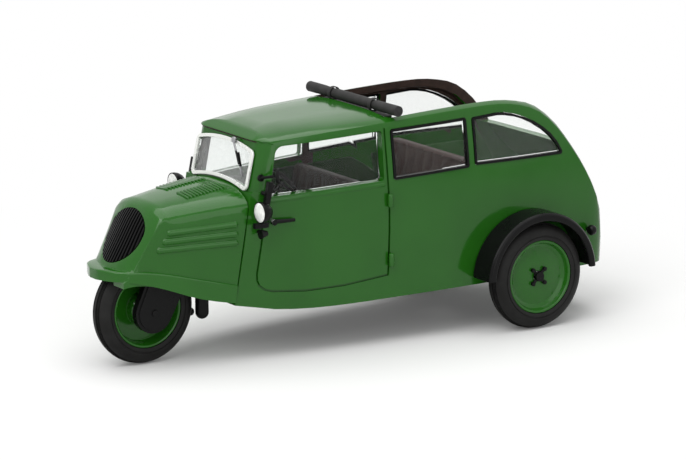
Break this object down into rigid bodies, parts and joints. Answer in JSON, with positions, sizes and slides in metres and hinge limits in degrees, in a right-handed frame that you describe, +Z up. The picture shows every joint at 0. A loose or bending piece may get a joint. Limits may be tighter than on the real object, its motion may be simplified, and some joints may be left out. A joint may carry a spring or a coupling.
{
  "type": "scale model three-wheeled car",
  "caption": "Collector's scale model of a three-wheeled estate car with its cloth roof rolled back; cast hollow body, glazed windows, and wheels that turn on their axles.",
  "frame": {"origin": "on the ground under the middle of the model's box", "axes": "+X forward, +Y to the model's left, +Z up"},
  "size_m": [0.0796, 0.0346, 0.0343],
  "materials": {
    "paint_green": "gloss",
    "satin_black": "satin",
    "roof_cover": "matt, moulded as rolled cloth",
    "screen_silver": "satin silver",
    "clear_pane": "clear",
    "lamp_lens": "clear, silvered behind",
    "seat_brown": "matt",
    "axle_steel": "bare steel",
    "tyre_black": "matt rubber"
  },
  "bodies": {
    "car": {"nose_shell": "paint_green", "cabin_shell": "paint_green", "grille": "satin_black", "windscreen_frame": "screen_silver", "windscreen_glass": "clear_pane", "wiper": "satin_black", "side_glass_left": "clear_pane", "side_glass_right": "clear_pane", "window_trim_left": "satin_black", "window_trim_right": "satin_black", "roof_roll": "roof_cover", "roll_straps": "roof_cover", "roof_flap": "roof_cover", "headlamp_left": "satin_black", "headlamp_right": "satin_black", "headlamp_lens_left": "lamp_lens", "headlamp_lens_right": "lamp_lens", "horn": "satin_black", "trafficator_left": "satin_black", "trafficator_right": "satin_black", "door_mirror": "satin_black", "door_handle_left": "satin_black", "door_handle_right": "satin_black", "door_hinges_left": "paint_green", "door_hinges_right": "paint_green", "mudguard_left": "satin_black", "mudguard_right": "satin_black", "tail_lamp_left": "satin_black", "tail_lamp_right": "satin_black", "base_plate": "satin_black", "interior_tub": "paint_green", "front_seat": "seat_brown", "rear_seat": "seat_brown", "dashboard": "satin_black", "steering_wheel": "satin_black", "chain_case": "satin_black", "fork_arm": "satin_black", "fork_crown": "satin_black", "brake_lever": "satin_black", "exhaust_pipe": "satin_black", "front_axle": "axle_steel", "rear_axle": "axle_steel"},
    "front_wheel": {"front_tyre": "tyre_black", "front_rim": "paint_green"},
    "rear_wheel_left": {"rear_tyre_left": "tyre_black", "rear_rim_left": "paint_green", "hub_spider_left": "satin_black"},
    "rear_wheel_right": {"rear_tyre_right": "tyre_black", "rear_rim_right": "paint_green", "hub_spider_right": "satin_black"}
  },
  "joints": [
    {"name": "front_wheel_spin", "type": "hinge", "parent": "car", "child": "front_wheel", "pos_m": [0.03205, 0, 0.0077], "axis": [0, 1, 0], "continuous": true},
    {"name": "rear_left_spin", "type": "hinge", "parent": "car", "child": "rear_wheel_left", "pos_m": [-0.02415, 0.01495, 0.0077], "axis": [0, 1, 0], "continuous": true},
    {"name": "rear_right_spin", "type": "hinge", "parent": "car", "child": "rear_wheel_right", "pos_m": [-0.02415, -0.01495, 0.0077], "axis": [0, 1, 0], "continuous": true}
  ]
}
